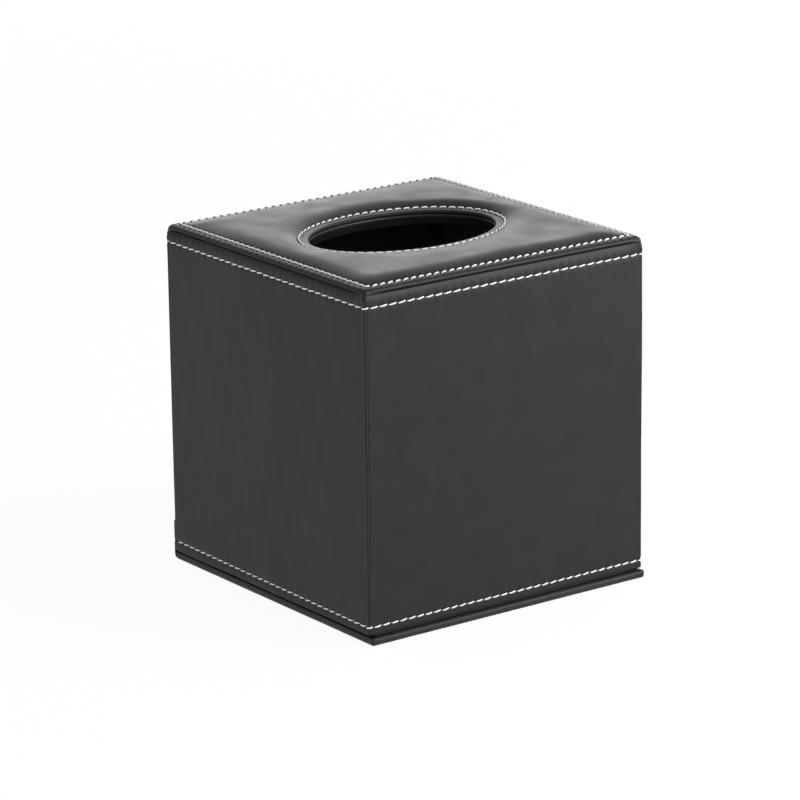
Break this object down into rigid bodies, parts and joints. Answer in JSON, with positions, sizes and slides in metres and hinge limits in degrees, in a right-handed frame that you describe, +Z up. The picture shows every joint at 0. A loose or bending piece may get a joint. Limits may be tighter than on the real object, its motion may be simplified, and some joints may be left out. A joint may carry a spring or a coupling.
{
  "type": "tissue box",
  "caption": "Cube tissue box covered in stitched black leather, with a padded top panel, an oval mouth and a hinged bottom flap for refilling.",
  "frame": {"origin": "on the floor under the middle of the whole object, which is the middle of its box in X and Y", "axes": "+Z up; -Y is the front, where the flap's lip stands out; +Y is the back, with the leather hinge; +X is right seen from the front"},
  "size_m": [0.1334, 0.136, 0.1401],
  "materials": {
    "leather": "satin",
    "board": "matte",
    "lining": "matte",
    "foam": "matte",
    "thread": "matte",
    "magnet": "satin"
  },
  "bodies": {
    "box": {"wall_board_front": "board", "wall_board_back": "board", "wall_board_left": "board", "wall_board_right": "board", "top_board": "board", "wall_leather": "leather", "wall_lining_front": "lining", "wall_lining_back": "lining", "wall_lining_left": "lining", "wall_lining_right": "lining", "top_lining": "lining", "mouth_binding": "leather", "wall_magnets": "magnet", "upper_wall_stitching": "thread", "lower_wall_stitching": "thread", "top_panel_board": "board", "top_foam": "foam", "top_leather": "leather", "top_edge_stitching": "thread", "mouth_stitching": "thread", "hinge_leather": "leather"},
    "flap": {"flap_board": "board", "flap_leather": "leather", "flap_lining": "lining", "flap_magnets": "magnet"}
  },
  "joints": [
    {"name": "flap_hinge", "type": "hinge", "parent": "box", "child": "flap", "pos_m": [0, 0.06755, 0.0035], "axis": [1, 0, 0], "range_deg": [0, 180], "deforming": ["hinge_leather"]}
  ]
}
